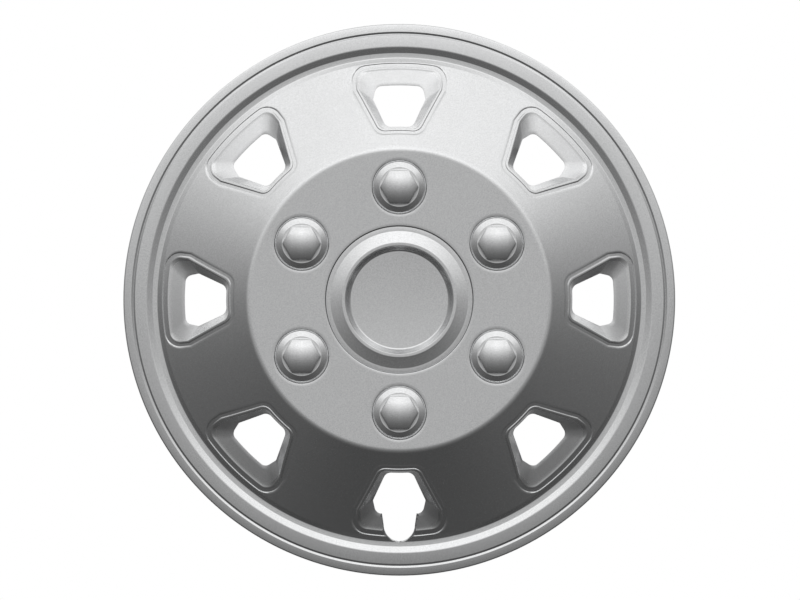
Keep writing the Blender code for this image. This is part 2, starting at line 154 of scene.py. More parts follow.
def welded_mesh(name, grids):
    """One closed mesh from grids of points, with points at the same place made one.

    Each grid is (points, paint), with paint from 0 to 1. A quad with two equal corners becomes a
    triangle, and one that has shrunk to a line is dropped.
    """
    points, quads, paint, start = [], [], [], 0
    for grid, coat in grids:
        rows, columns = grid.shape[:2]
        points.append(grid.reshape(-1, 3))
        coat = np.asarray(coat, float)
        coat = coat[:, None] if coat.ndim == 1 else coat
        paint.append(np.broadcast_to(coat, (rows, columns)).reshape(-1))
        quads.append(grid_quads(rows, columns) + start)
        start += rows * columns
    points, quads, paint = np.concatenate(points), np.concatenate(quads), np.concatenate(paint)
    cells = np.round(points / WELD).astype(np.int64)
    _, first, index = np.unique(cells, axis=0, return_index=True, return_inverse=True)
    quads = index.reshape(-1)[quads]
    same = quads == np.roll(quads, -1, axis=1)
    opposite = (quads[:, 0] == quads[:, 2]) | (quads[:, 1] == quads[:, 3])
    whole = quads[~same.any(1) & ~opposite]
    single = (same.sum(1) == 1) & ~opposite
    keep = ~same[single]
    triangles = quads[single][keep].reshape(-1, 3)
    mesh = bpy.data.meshes.new(name)
    mesh.from_pydata(points[first], [], whole.tolist() + triangles.tolist())
    work = bmesh.new()
    work.from_mesh(mesh)
    bmesh.ops.recalc_face_normals(work, faces=work.faces)
    work.to_mesh(mesh)
    work.free()
    stored = mesh.attributes.new("paint", "FLOAT", "POINT")
    stored.data.foreach_set("value", paint[first].astype(np.float32))
    mesh.shade_smooth()
    mesh.set_sharp_from_angle(angle=SHARP)
    return mesh


def piece(name, mesh, body, nodes, finish):
    """Put a finished mesh at the origin, riding on its body in place of its CAD nodes."""
    obj = bpy.data.objects.new(name, mesh)
    bpy.context.scene.collection.objects.link(obj)
    mesh.materials.append(finish)
    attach(obj, body)
    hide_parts(*nodes)
    return obj


# ---------------------------------------------------------------- windows

WINDOW_COUNT = 8
SECTOR = np.pi / WINDOW_COUNT
HALF_COLUMNS = 15
COLUMN = SECTOR / HALF_COLUMNS
HUB_ARC, RIM_ARC = 119.9, 184.45
BACK_HUB_BEND = 116.3
BACK_HUB_ARC, BACK_RIM_ARC = 119.0, 183.2

# Outlines round a window, from outside in: each has a rim, a side and a hub corner, as half width,
# distance from the axis and corner radius. FRAME_DROP is where the surround dips below the cone,
# FRAME_RISE where it comes up again, CREST the top of the walls, OPENING the see-through edge.
FRAME_DROP = ((37.9, 183.95, 10.0), (35.75, 165.8, 2.5), (17.0, 128.55, 10.5))
FRAME_RISE = ((34.75, 181.0, 7.5), (33.0, 166.4, 1.2), (15.3, 131.3, 8.5))
CREST = ((33.5, 180.1, 6.5), (32.0, 167.6, 1.0), (14.3, 132.7, 7.6))
OPENING = ((18.2, 166.7, 5.0), (20.4, 157.1, 1.6), (10.2, 134.3, 6.4))
OPENING_ROUNDING = 0.2

# Points along the straight stretches and the bends of half an outline, from rim edge to hub edge.
RIM_STRETCH, OUTER_STRETCH, SIDE_STRETCH, HUB_STRETCH = 11, 4, 10, 8
RIM_BEND, SIDE_BEND, HUB_BEND = 10, 4, 8

# Heights against the cone's own surface, by distance from the axis.
HEIGHT_RADII = (131.0, 150.0, 168.0, 176.0, 183.0)
LAND_HEIGHTS = (-0.20, -0.26, -0.55, -0.85, -0.95)
CREST_HEIGHTS = (0.72, 0.60, 0.20, -0.75, -0.95)
OPENING_RADII = (134.3, 166.7)
OPENING_DEPTHS = (8.4, 4.7)
OPENING_LIP = 1.7

# The valve's slot: its mouth inside the window, its straight sides and its round end.
SLOT_MOUTH = (13.75, 164.0)
SLOT_HALF_WIDTH = 12.1
SLOT_CENTRE = 175.6
SLOT_ROUNDING = 1.1
SLOT_FLARE = np.radians((12, 30, 50, 70, 90))[:, None, None]
SLOT_END_POINTS, SLOT_SIDE_POINTS, SLOT_MOUTH_POINTS = 25, 30, 6
SLOT_COAT = 0.2
CUTTER_REACH = 15.0


def smooth(value):
    """0 below 0, 1 above 1, and 3t² - 2t³ in between."""
    value = np.clip(value, 0, 1)
    return value * value * (3 - 2 * value)


def spread(start, end, count):
    """count points evenly from start up to, and without, end."""
    share = np.arange(count)[:, None] / count
    return np.asarray(start) * (1 - share) + np.asarray(end) * share


def half_outline(corners):
    """Points down one side of an outline, from the middle of its rim edge to that of its hub edge.

    Every outline takes the same number of points along each stretch, so that they match one another.
    """
    rim, side, hub = corners
    top, bottom = (0, rim[1], 0), (0, hub[1], 0)
    at_rim = filleted([top, rim, side], RIM_BEND)[1:-1]
    at_side = filleted([rim, side, hub], SIDE_BEND)[1:-1]
    at_hub = filleted([side, hub, bottom], HUB_BEND)[1:-1]
    return np.concatenate([
        spread(top[:2], at_rim[0], RIM_STRETCH),
        at_rim[:-1], spread(at_rim[-1], at_side[0], OUTER_STRETCH),
        at_side[:-1], spread(at_side[-1], at_hub[0], SIDE_STRETCH),
        at_hub[:-1], spread(at_hub[-1], bottom[:2], HUB_STRETCH), [bottom[:2]],
    ])


def whole_outline(half):
    """A half outline and its mirror image, as one closed loop that ends on its first point."""
    other = half[::-1] * (-1, 1)
    return np.concatenate([half, other[1:]])


def signed_depth(points, loop):
    """How far each point lies inside a closed loop, and below 0 outside it."""
    start, step = loop[:-1], np.diff(loop, axis=0)
    keep = np.linalg.norm(step, axis=1) > 1e-9
    start, step = start[keep], step[keep]
    away = points[..., None, :] - start
    share = np.clip((away * step).sum(-1) / (step**2).sum(-1), 0, 1)
    distance = np.linalg.norm(away - share[..., None] * step, axis=-1).min(-1)
    above = (start[:, 1] > points[..., None, 1]) != ((start + step)[:, 1] > points[..., None, 1])
    rise = np.where(step[:, 1] == 0, 1e-12, step[:, 1])
    crossing = start[:, 0] + (points[..., None, 1] - start[:, 1]) * step[:, 0] / rise
    inside = (above & (points[..., None, 0] < crossing)).sum(-1) % 2 == 1
    return np.where(inside, distance, -distance)


DROP_LOOP, RISE_LOOP, CREST_LOOP, OPENING_LOOP = (
    whole_outline(half_outline(corners)) for corners in (FRAME_DROP, FRAME_RISE, CREST, OPENING)
)
FRONT_LINE = np.concatenate([profile(HUB_EDGE_ROWS, steps=8), profile(STEP_ROWS, steps=6)])
BACK_LINE = np.array([
    (BACK_HUB_ARC, cone(BACK_HUB_ARC) - CONE_SKIN), (BACK_RIM_ARC, cone(BACK_RIM_ARC) - CONE_SKIN),
    (185.4, -0.72), (186.0, -0.93), (186.6, -1.0), (190.0, -1.0),
])
STEP_REACH = 0.4


def front_height(points):
    """Height of the face's front at points given as half width and distance from the axis.

    It is the turned profile, plus the window's surround: a drop of smooth-step shape at FRAME_DROP,
    a rise at FRAME_RISE, and inside CREST a straight ramp to the opening's edge.
    """
    radius = points[..., 1]
    base = np.interp(radius, FRONT_LINE[:, 0], FRONT_LINE[:, 1])
    drop, rise, crest = (signed_depth(points, loop) for loop in (DROP_LOOP, RISE_LOOP, CREST_LOOP))
    to_opening = np.maximum(-signed_depth(points, OPENING_LOOP), 0)
    land, top = (np.interp(radius, HEIGHT_RADII, rows) for rows in (LAND_HEIGHTS, CREST_HEIGHTS))
    dropped, risen = (smooth((depth + STEP_REACH) / (2 * STEP_REACH)) for depth in (drop, rise))
    surround = land * dropped + (top - land) * risen
    share = np.clip(crest / np.maximum(crest + to_opening, 1e-6), 0, 1)
    wall = (-np.interp(radius, OPENING_RADII, OPENING_DEPTHS) - surround) * share
    return base + surround + np.where(crest > 0, wall, 0)


def back_height(points):
    """Height of the skin's back, as turned."""
    return np.interp(points[..., 1], BACK_LINE[:, 0], BACK_LINE[:, 1])


def lip_height(points):
    """Height of the lip's back round an opening, where the window's walls end."""
    depth = np.interp(points[..., 1], OPENING_RADII, OPENING_DEPTHS)
    return back_height(points) - depth - OPENING_LIP + CONE_SKIN


def outward(loop):
    """Unit vectors that point out of a closed loop that runs clockwise, as an outline does."""
    along = np.roll(loop[:-1], -1, axis=0) - np.roll(loop[:-1], 1, axis=0)
    along /= np.linalg.norm(along, axis=1)[:, None]
    normal = np.stack([-along[:, 1], along[:, 0]], -1)
    return np.concatenate([normal, normal[:1]])


SECTOR_ANGLES = np.arange(HALF_COLUMNS + 1) * COLUMN
OUTLINE_POINTS = len(half_outline(OPENING))


def sector_edge(rim_radius, hub_radius):
    """The edge of a window's sector, as a loop that matches the outlines: rim arc, side, hub arc."""
    ones = np.ones(len(SECTOR_ANGLES))
    rim = rim_radius * np.stack([np.sin(SECTOR_ANGLES), ones], -1)
    border = np.linspace(rim_radius, hub_radius, OUTLINE_POINTS - 2 * len(ones) + 2)[1:-1]
    side = np.stack([border * np.sin(SECTOR), border], -1)
    hub = hub_radius * np.stack([np.sin(SECTOR_ANGLES[::-1]), ones], -1)
    return whole_outline(np.concatenate([rim, side, hub]))


def on_sector(points, height, middle):
    """Points given across and by radius, put round the axis: along = sqrt(radius² - across²)."""
    across = points[..., 0]
    along = np.sqrt(points[..., 1] ** 2 - across**2)
    return placed(along * np.cos(middle) + across * np.sin(middle),
                  along * np.sin(middle) - across * np.cos(middle), height)


def between(loops, shares):
    """Rows part of the way through a stack of matching loops: 0.5 is halfway from first to second."""
    loops = np.array(loops)
    shares = np.asarray(shares, float)
    low = np.clip(np.floor(shares).astype(int), 0, len(loops) - 2)
    part = (shares - low)[:, None, None]
    return loops[low] * (1 - part) + loops[low + 1] * part


# Where the rows of a window's grid lie: round it, down its walls, over the opening's edge, along
# the lip's back as steps outwards and upwards, up the cup behind the walls, and behind the cone.
SURROUND_SHARES = np.concatenate([
    np.linspace(0, 0.8, 5), (0.93, 0.965), np.linspace(1, 2, 11)[:-1], np.linspace(2, 3, 7)[:-1],
])
WALL_SHARES = np.array((0, 0.03, 0.07, 0.11, 0.15, 0.19, 0.23, 0.4, 0.6, 0.8, 1))
WALL_EASE = 0.22
EDGE_TURN = np.radians((22, 45, 68, 90))[:, None, None]
LIP_OUT = np.array((0.0, 0.15, 0.5))[:, None, None]
LIP_UP = np.array((0.35, 0.1, 0.0))[:, None]
CUP_START, CUP_END = 1.9, 2.4
CUP_SHARES = np.array((0, 0.06, 0.14, 0.4, 0.7, 0.9, 1))
CUP_EASE = 0.12
BEHIND_SHARES = (0.3, 0.65, 1)

# How much paint lands: all of it on the front, less from a few rows down the walls, little on the
# lip's back, and none behind.
THICK_WALL_ROWS = 5
THIN_COAT = 0.85
LIP_COAT = (0.8, 0.45, 0.2)


def ruled(start, start_height, end, end_height, shares, ease):
    """Lines between two matching loops, that leave the first level and bend to their slope.

    Up to ease the fall goes as t² / (2 ease), and beyond it as t - ease / 2, both over
    1 - ease / 2.
    """
    fall = np.where(shares < ease, shares**2 / (2 * ease), shares - ease / 2) / (1 - ease / 2)
    points = start + (end - start) * shares[:, None, None]
    return points, start_height + (end_height - start_height) * fall[:, None]


def window_sector(middle):
    """One window with the cone round it, front and back, as a grid that runs through the opening.

    Rows go from the sector's front edge over the surround and down the walls, round the opening's
    edge, and out again behind.
    """
    normal = outward(OPENING_LOOP)
    brink = OPENING_LOOP + normal * OPENING_ROUNDING
    edge = sector_edge(RIM_ARC, HUB_ARC)
    surround = between([edge, DROP_LOOP, RISE_LOOP, CREST_LOOP], SURROUND_SHARES)
    wall, wall_height = ruled(
        CREST_LOOP, front_height(CREST_LOOP), brink, front_height(brink), WALL_SHARES, WALL_EASE)
    rounded = OPENING_LOOP + normal * OPENING_ROUNDING * (1 - np.sin(EDGE_TURN))
    rounded_height = front_height(brink) - OPENING_ROUNDING * (1 - np.cos(EDGE_TURN[..., 0]))
    lip = OPENING_LOOP + normal * LIP_OUT
    land = OPENING_LOOP + normal * CUP_START
    foot = CREST_LOOP + outward(CREST_LOOP) * CUP_END
    cup, cup_height = ruled(land, lip_height(land), foot, back_height(foot), CUP_SHARES, CUP_EASE)
    behind = between([foot, sector_edge(BACK_RIM_ARC, BACK_HUB_ARC)], BEHIND_SHARES)
    grid = np.concatenate([surround, wall, rounded, lip, cup, behind])
    height = np.concatenate([
        front_height(surround), wall_height, rounded_height, lip_height(lip) + LIP_UP, cup_height,
        back_height(behind)])
    front_rows = len(surround) + len(wall) + len(rounded)
    paint = np.concatenate([np.ones(front_rows), LIP_COAT, np.zeros(len(cup) + len(behind))])
    paint[len(surround) + THICK_WALL_ROWS:front_rows] = THIN_COAT
    return on_sector(grid, height, middle), paint


# ---------------------------------------------------------------- nut seats and the centre hole

CAP_EDGE, CAP_HOLE = 57.3, 48.0
NUT_EDGE, NUT_HOLE, NUT_SEAT = 21.2, 15.0, 23.6
SEAT_HEIGHT = PLATEAU - 3.5
PATCH_HUB, PATCH_RIM, BACK_PATCH_HUB = 59.6, 114.0, 61.6
HALF_PATCH = 20
BORDER_POINTS = 17
PATCH_SHARES = np.linspace(0, 1, 5)[:-1, None, None]
NUT_ROWS = filleted([
    (NUT_EDGE + 2.4, PLATEAU, 0), (NUT_EDGE, PLATEAU, 0.3), (NUT_EDGE, SEAT_HEIGHT, 0.3),
    (NUT_HOLE, SEAT_HEIGHT, 0.3), (NUT_HOLE, SEAT_HEIGHT - SKIN, 0.3),
    (NUT_SEAT, SEAT_HEIGHT - SKIN, 0.5), (NUT_SEAT + 0.6, PLATEAU - SKIN, 0.5),
    (NUT_SEAT + 2.5, PLATEAU - SKIN, 0),
], steps=3)
CENTRE_ROWS = filleted([
    (PATCH_HUB, PLATEAU, 0), (CAP_EDGE, PLATEAU, 0.5), (CAP_EDGE, SEAT_HEIGHT, 0.3),
    (CAP_HOLE, SEAT_HEIGHT, 0.3), (CAP_HOLE, SEAT_HEIGHT - SKIN, 0.3),
    (59.8, SEAT_HEIGHT - SKIN, 0.4), (60.7, PLATEAU - SKIN, 0.4), (BACK_PATCH_HUB, PLATEAU - SKIN, 0),
], steps=4)


def nut_sector(middle):
    """A sixth of the hub's plateau with one nut's recess and hole, front and back.

    The sector's edge runs along the rim arc, a border, the hub arc and the other border. Each of
    its points is joined to the point of the recess's circles that lies in the same direction.
    """
    angles = middle + np.arange(-HALF_PATCH, HALF_PATCH + 1) * COLUMN
    border = np.linspace(PATCH_RIM, PATCH_HUB, BORDER_POINTS)[1:-1]
    rim_arc, hub_arc = PATCH_RIM + 0 * angles, PATCH_HUB + 0 * angles
    radii = np.concatenate([rim_arc, border, hub_arc, border[::-1], rim_arc[:1]])
    one_side, other_side = 0 * border + angles[-1], 0 * border + angles[0]
    turns = np.concatenate([angles, one_side, angles[::-1], other_side, angles[:1]])
    edge = np.stack([radii * np.cos(turns), radii * np.sin(turns)], -1)
    back = edge * (np.clip(radii, BACK_PATCH_HUB, None) / radii)[:, None]
    centre = NUT_PITCH * np.array((np.cos(middle), np.sin(middle)))
    way = edge - centre
    way /= np.linalg.norm(way, axis=1)[:, None]
    circles = centre + way * NUT_ROWS[:, :1, None]
    front = edge * (1 - PATCH_SHARES) + circles[0] * PATCH_SHARES
    behind = back * (1 - PATCH_SHARES[::-1]) + circles[-1] * PATCH_SHARES[::-1]
    grid = np.concatenate([front, circles, behind])
    flat = np.ones(len(PATCH_SHARES))
    height = np.concatenate([PLATEAU * flat, NUT_ROWS[:, 1], (PLATEAU - SKIN) * flat])[:, None]
    recess_coat = smooth((NUT_ROWS[:, 1] - SEAT_HEIGHT + SKIN) / SKIN)
    paint = np.concatenate([flat, recess_coat, 0 * flat])
    return placed(grid[..., 0], grid[..., 1], height + 0 * grid[..., 0]), paint


# ---------------------------------------------------------------- the face

VALVE_ANGLE = np.radians(270)
ROUND = np.arange(2 * HALF_COLUMNS * WINDOW_COUNT + 1) * COLUMN
CENTRE_COAT_END, CENTRE_COAT_FADE = 38.0, 2.0
RIM_COAT_ROWS, RIM_COAT_FADE = 10, 6


def face_shell():
    """The whole face as one closed skin, with the valve's slot not yet cut."""
    hub_front = profile(HUB_EDGE_ROWS, steps=8)
    flat_back = [(radius, PLATEAU - SKIN) for radius in (PATCH_RIM, BACK_HUB_BEND)]
    hub_back = np.array([*flat_back, BACK_LINE[0]])
    rim = profile(RIM_ROWS)
    step_front = profile(STEP_ROWS, steps=6)
    rows_left = rim[:, 0].argmax() + RIM_COAT_ROWS - np.arange(len(rim))
    centre_coat = smooth((CENTRE_ROWS[:, 1] - CENTRE_COAT_END) / CENTRE_COAT_FADE)
    grids = [
        (turned(CENTRE_ROWS, ROUND), centre_coat),
        (turned(hub_front, ROUND), np.ones(len(hub_front))),
        (turned(hub_back, ROUND), np.zeros(len(hub_back))),
        (turned(step_front, ROUND), np.ones(len(step_front))),
        (turned(rim, ROUND), smooth(rows_left / RIM_COAT_FADE)),
        (turned(BACK_LINE[1:], ROUND), np.zeros(len(BACK_LINE) - 1)),
    ]
    grids += [window_sector(i * 2 * SECTOR) for i in range(WINDOW_COUNT)]
    grids += [nut_sector(angle) for angle in NUT_ANGLES]
    return welded_mesh("face_shell", grids)


def slot_cutter():
    """What the valve's slot takes away: its outline, flared to a rounding at the face's front."""
    bend = np.linspace(np.pi / 2, 0, SLOT_END_POINTS)[:, None]
    end = (0, SLOT_CENTRE) + SLOT_HALF_WIDTH * np.concatenate([np.cos(bend), np.sin(bend)], 1)
    side = spread(end[-1], SLOT_MOUTH, SLOT_SIDE_POINTS)
    foot = spread(SLOT_MOUTH, (0, SLOT_MOUTH[1]), SLOT_MOUTH_POINTS)
    loop = whole_outline(np.concatenate([end[:-1], side, foot, [(0, SLOT_MOUTH[1])]]))
    normal = outward(loop)
    flared = loop + normal * SLOT_ROUNDING * (1 - np.sin(SLOT_FLARE))
    middle = 0 * loop + (0, SLOT_CENTRE)
    rows = np.concatenate([[middle, flared[0]], flared, [loop, middle]])
    brink = front_height(loop + normal * SLOT_ROUNDING)
    level = brink - SLOT_ROUNDING * (1 - np.cos(SLOT_FLARE[..., 0]))
    reach = np.full((2, len(loop)), CUTTER_REACH)
    height = np.concatenate([reach, level, -reach])
    paint = np.concatenate([np.ones(len(rows) - 2), (SLOT_COAT, SLOT_COAT)])
    return welded_mesh("slot_cutter", [(on_sector(rows, height, VALVE_ANGLE), paint)])


def cut(mesh, cutter):
    """The mesh less the cutter, by an exact Boolean."""
    block = bpy.data.objects.new("block", mesh)
    tool = bpy.data.objects.new("tool", cutter)
    for obj in (block, tool):
        bpy.context.scene.collection.objects.link(obj)
    boolean = block.modifiers.new("cut", "BOOLEAN")
    boolean.operation, boolean.object, boolean.solver = "DIFFERENCE", tool, "EXACT"
    graph = bpy.context.evaluated_depsgraph_get()
    result = bpy.data.meshes.new_from_object(block.evaluated_get(graph))
    for obj in (block, tool):
        bpy.data.objects.remove(obj)
    result.shade_smooth()
    result.set_sharp_from_angle(angle=SHARP)
    return result


# ---------------------------------------------------------------- lofted pieces


def lofted(loops):
    """A stack of closed loops of points as one grid, closed at both ends by the loops' middles."""
    loops = np.asarray(loops)
    ends = [np.broadcast_to(loops[i, :-1].mean(0), loops[i].shape) for i in (0, -1)]
    grid = np.concatenate([[ends[0]], loops, [ends[1]]])
    return grid, np.zeros(len(grid))


def rounded_box(half_width, half_depth, radius):
    """A closed rectangle with rounded corners, as (across, outwards) points about its middle."""
    corners = [(half_width, half_depth), (half_width, -half_depth),
               (-half_width, -half_depth), (-half_width, half_depth)]
    loop = filleted([(x, y, radius) for x, y in corners], 4, closed=True)
    return np.concatenate([loop, loop[:1]])


def radial(across, out, height, angle):
    """Points given across and outwards from the axis, put at an angle round it."""
    return placed(out * np.cos(angle) + across * np.sin(angle),
                  out * np.sin(angle) - across * np.cos(angle), height)


# A rib's half width, its ends and its depth at them, and how its foot flares: wider by, deeper by.
RIB_HALF = 0.9
RIB_ENDS, RIB_DEPTHS = (120.5, 183.0), (6.1, 3.1)
RIB_RADII = np.linspace(*RIB_ENDS, 26)
RIB_FOOT = ((0.9, -1.0), (0.9, 0.0), (0.45, 0.25), (0.1, 0.8), (0.0, 1.6))
RIB_CROWN, RIB_ROUNDNESS = 0.6, 0.6


def rib(angle):
    """A rib behind the cone, that flares into the skin and gets shallower towards the rim."""
    depth = np.interp(RIB_RADII, RIB_ENDS, RIB_DEPTHS)[:, None]
    foot = np.array(RIB_FOOT)
    end = np.radians((0, 30, 60, 90))
    across = np.concatenate([RIB_HALF + foot[:, 0], RIB_HALF * np.cos(end) ** RIB_ROUNDNESS])
    crown = depth - RIB_CROWN + RIB_CROWN * np.sin(end)
    fall = np.concatenate([foot[:, 1] + 0 * depth, crown], axis=1)
    across = np.concatenate([across, -across[::-1], across[:1]]) + 0 * depth
    fall = np.concatenate([fall, fall[:, ::-1], fall[:, :1]], axis=1)
    along = RIB_RADII[:, None] + 0 * fall
    return lofted(radial(across, along, cone(along) - CONE_SKIN - fall, angle))


CLIP_ROOT = 192.25
POCKET_MOUTH = -10.0
POCKET_OUTER, POCKET_INNER = (10.2, 4.8), (7.6, 2.2)
POCKET_CORNER = 0.8

# Down the outside of a pocket and up its inside: half sides, height, and how far they are drawn in.
POCKET_ROWS = (
    (POCKET_OUTER, 0.3, 0.0), (POCKET_OUTER, -4.9, 0.0), (POCKET_OUTER, -9.5, 0.0),
    (POCKET_OUTER, -9.85, 0.15), (POCKET_OUTER, POCKET_MOUTH, 0.5), (POCKET_INNER, POCKET_MOUTH, -0.4),
    (POCKET_INNER, -9.8, -0.1), (POCKET_INNER, -9.4, 0.0), (POCKET_INNER, -1.02, 0.0),
)


def pocket(angle):
    """A clip's pocket: a short rectangular tube that stands behind the rim band's floor."""
    loops = []
    for (half_width, half_depth), height, inset in POCKET_ROWS:
        loop = rounded_box(half_width - inset, half_depth - inset, POCKET_CORNER)
        loops.append(radial(loop[:, 0], CLIP_ROOT + loop[:, 1], height + 0 * loop[:, 0], angle))
    return lofted(loops)


# A clip's side: rows of inner and outer points, each as distance out from its root and along the
# axis from the pocket's mouth, from the foot to the tip.
CLIP_ROWS = (
    (-1.6, 4.0, 1.6, 4.0), (-1.6, 0.5, 1.6, 0.5), (-1.5, -1.0, 1.65, -1.0), (-1.0, -4.0, 1.95, -4.0),
    (-0.3, -8.0, 2.3, -8.0), (0.15, -11.5, 2.85, -11.5), (0.3, -13.0, 3.1, -13.0),
    (0.0, -14.3, 3.35, -14.4), (-0.8, -15.6, 3.75, -15.7), (-1.0, -16.4, 4.2, -16.6),
    (-1.0, -17.4, 4.85, -17.5),
    (-0.85, -17.6, 5.0, -17.75), (1.05, -17.65, 5.15, -17.9), (1.2, -17.8, 5.25, -18.1),
    (1.2, -19.5, 6.15, -19.4), (1.2, -21.2, 6.55, -21.0), (1.05, -21.35, 6.55, -21.3),
    (-1.65, -21.4, 6.5, -21.6), (-1.8, -21.55, 6.4, -21.9), (-1.8, -24.2, 5.8, -23.6),
    (-1.5, -24.8, 5.3, -24.4), (0.4, -26.4, 3.9, -26.2), (1.0, -26.78, 3.1, -26.78),
)
CLIP_HALF_WIDTH = 7.0
CLIP_CORNER = 0.45
END_INSET = 0.25


def clip(angle):
    """A retaining clip: rounded sections across the finger, between its inner and outer points.

    A section is narrower by half the way that a point lies within CLIP_CORNER of the inner or outer
    face, and by END_INSET at the foot and the tip.
    """
    section = rounded_box(1.0, 1.0, 0.3)
    share = (section[:, 1] + 1) / 2
    last = len(CLIP_ROWS) - 1
    loops = []
    for i, (inner, inner_height, outer, outer_height) in enumerate(CLIP_ROWS):
        thick = outer - inner
        corner = np.clip(np.abs(section[:, 1]) - (1 - 2 * CLIP_CORNER / thick), 0, 1) * thick / 2
        width = CLIP_HALF_WIDTH - (END_INSET if i in (0, last) else 0.0) - corner / 2
        out = CLIP_ROOT + inner + thick * share
        height = POCKET_MOUTH + inner_height + (outer_height - inner_height) * share
        loops.append(radial(width * section[:, 0], out, height, angle))
    return lofted(loops)


# A wire ring's radius, height and half thickness.
BIG_RING = (191.55, -29.5, 1.6)
CAP_RING = (44.3, 34.7, 0.9)
CRANK, CRANK_HALF_ANGLE = 4.0, np.radians(11)


def wire(ring, crank=0.0, turns=480):
    """A closed wire ring: a circle of the wire's half thickness carried round the axis, cranked
    outwards past the valve by a squared cosine."""
    radius, height, half = ring
    angles = np.linspace(0, 2 * np.pi, turns + 1)[:, None]
    around = np.linspace(0, 2 * np.pi, 17)
    away = np.abs((angles - VALVE_ANGLE + np.pi) % (2 * np.pi) - np.pi) / CRANK_HALF_ANGLE
    path = radius + crank * np.cos(np.pi / 2 * np.clip(away, 0, 1)) ** 2
    out = path + half * np.cos(around)
    points = placed(out * np.cos(angles), out * np.sin(angles), height + half * np.sin(around))
    return points, np.zeros(len(angles))


# ---------------------------------------------------------------- caps

NUT_HALF_FLATS, NUT_DOME = 13.0, 29.6
NUT_TOP = 56.0
NUT_EDGE_WIDTH = 0.8
NUT_CORNER_EASE, NUT_CORNER_WIDTH = 0.3, 0.06
NUT_FOOT = 15.1
LEDGE = 45.0
NUT_COAT_END, NUT_COAT_FADE, NUT_BARE_ROWS = 38.0, 3.0, 14
CAP_COAT_ROWS, CAP_COAT_FADE = 2, 3
NUT_SKIRT = filleted([
    (15.16, LEDGE, 0), (15.34, LEDGE, 0.12), (20.2, 42.3, 0.3), (20.9, 42.25, 0.3), (20.9, 40.8, 0.2),
    (14.7, 40.8, 0.2), (14.7, 33.6, 0.4), (13.9, 32.3, 0.2), (12.7, 32.3, 0.2), (12.7, 40.6, 0.5),
    (9.5, 43.8, 0.5), (0, 43.8, 0),
], steps=3)
CAP_ROWS = filleted([
    (0, 40.0, 0), (37.7, 40.0, 0.6), (38.6, 40.5, 0.4), (41.4, 44.1, 0.6), (42.1, 44.8, 0.4),
    (44.4, 44.8, 0.5), (45.4, 44.45, 0.8), (53.3, 42.0, 0.8), (57.0, 42.0, 0.35), (57.0, 40.8, 0.2),
    (47.7, 40.8, 0.3), (47.7, 33.6, 0.4), (46.9, 32.3, 0.2), (44.1, 32.3, 0.2), (44.1, 33.1, 0.15),
    (45.5, 33.5, 0.15), (45.5, 40.8, 0.4), (40.3, 40.8, 0.5), (38.5, 38.0, 0.5), (0, 38.0, 0),
], steps=4)


def dome(radius):
    """Height of the nut caps' spherical top."""
    return NUT_TOP - NUT_DOME + np.sqrt(NUT_DOME**2 - radius**2)


def nut_cap(centre):
    """A nut cap: a dome trimmed to a hexagon, over a turned skirt and legs.

    The hexagon lies at half / cos(t) from the middle, with eased corners, and the edge between the
    dome and the flats is a quadratic curve.
    """
    angles = np.linspace(0, 2 * np.pi, 121)
    fold = np.mod(angles - np.pi / 3, np.pi / 3) - np.pi / 6
    corner = (np.pi / 6 - np.abs(fold)) / NUT_CORNER_WIDTH
    hexagon = NUT_HALF_FLATS / np.cos(fold) - NUT_CORNER_EASE * np.exp(-corner**2)
    inside = hexagon - NUT_EDGE_WIDTH
    top = np.linspace(0, 1, 12)[:, None] * inside
    bend = np.linspace(0.15, 1, 6)[:, None]
    first, second, third = (1 - bend) ** 2, 2 * bend * (1 - bend), bend**2
    edge = first * inside + (1 - first) * hexagon
    fall = first * dome(inside) + second * dome(hexagon) + third * (dome(hexagon) - NUT_EDGE_WIDTH)
    foot = np.minimum(hexagon + np.array((0, 0, 0.08, 0.28))[:, None], NUT_FOOT)
    low = np.array((48.5, 45.35, 45.1, LEDGE))[:, None] + 0 * angles
    radius = np.concatenate([top, edge, foot, NUT_SKIRT[:, :1] + 0 * angles])
    height = np.concatenate([dome(top), fall, low, NUT_SKIRT[:, 1:] + 0 * angles])
    seen = np.arange(len(radius)) < len(radius) - NUT_BARE_ROWS
    paint = smooth((height - NUT_COAT_END) / NUT_COAT_FADE) * seen[:, None]
    x, y = centre[0] + radius * np.cos(angles), centre[1] + radius * np.sin(angles)
    return placed(x, y, height), paint


# The gaps between a cap's snap legs: how many, how wide, and how far out.
CAP_GAPS = (8, 6.0, 46.5)
NUT_GAPS = (3, 5.0, 12.0)
GAP_HALF_DEPTH, GAP_CORNER = 5.0, 0.6
GAP_HEIGHTS = (30.0, 40.0)


def leg_gaps(centre, gaps):
    """Cutters for the gaps between a cap's snap legs."""
    count, width, radius = gaps
    box = rounded_box(width / 2, GAP_HALF_DEPTH, GAP_CORNER)
    grids = []
    for i in range(count):
        angle = (i + 0.5) * 2 * np.pi / count
        across, out = box[:, 0], radius + box[:, 1]
        rows = [radial(across, out, height + 0 * out, angle) for height in GAP_HEIGHTS]
        grid, paint = lofted(rows)
        grids.append((grid + placed(centre[0], centre[1], 0.0), paint))
    return welded_mesh("gaps", grids)


# ---------------------------------------------------------------- materials


